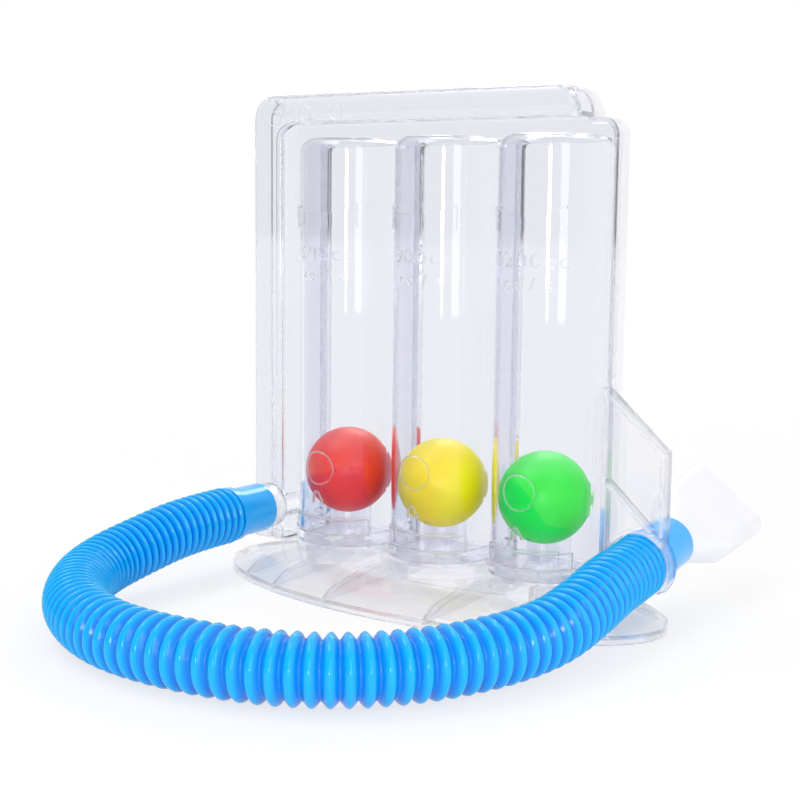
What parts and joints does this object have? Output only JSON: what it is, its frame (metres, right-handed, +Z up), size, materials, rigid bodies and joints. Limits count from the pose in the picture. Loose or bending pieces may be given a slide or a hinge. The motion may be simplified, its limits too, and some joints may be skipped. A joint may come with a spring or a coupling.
{
  "type": "incentive spirometer",
  "caption": "Flow incentive spirometer: balls in clear joined columns on an oval foot, air duct, corrugated hose with mouthpiece, and a bracket that clips the hose",
  "frame": {"origin": "middle of the foot's underside, on the surface it stands on", "axes": "+Z up, the columns face -Y, +X to the object's right as seen from the front"},
  "size_m": [0.1589, 0.2141, 0.1567],
  "materials": {
    "clear": "polished",
    "red": "gloss",
    "yellow": "gloss",
    "green": "gloss",
    "hose_blue": "satin",
    "cuff_blue": "satin",
    "milky": "satin"
  },
  "bodies": {
    "housing": {"front_shell": "clear", "rear_cover": "clear", "column_floor_600": "clear", "column_floor_900": "clear", "column_floor_1200": "clear", "outlet_nozzle": "clear", "base_foot": "clear", "tube_bracket": "clear", "hose_tube": "hose_blue", "cuff_nozzle_end": "cuff_blue", "cuff_mouth_end": "cuff_blue"},
    "ball_600": {"ball_red": "red"},
    "ball_900": {"ball_yellow": "yellow"},
    "ball_1200": {"ball_green": "green"},
    "mouthpiece": {"mouthpiece": "milky"}
  },
  "joints": [
    {"name": "ball_600_rise", "type": "slide", "parent": "housing", "child": "ball_600", "axis": [0, 0, 1], "range_m": [0, 0.091]},
    {"name": "ball_900_rise", "type": "slide", "parent": "housing", "child": "ball_900", "axis": [0, 0, 1], "range_m": [0, 0.091]},
    {"name": "ball_1200_rise", "type": "slide", "parent": "housing", "child": "ball_1200", "axis": [0, 0, 1], "range_m": [0, 0.091]},
    {"name": "mouthpiece_pull", "type": "slide", "parent": "housing", "child": "mouthpiece", "axis": [-0.0463, 0.9926, 0.1125], "range_m": [0, 0.016]}
  ]
}
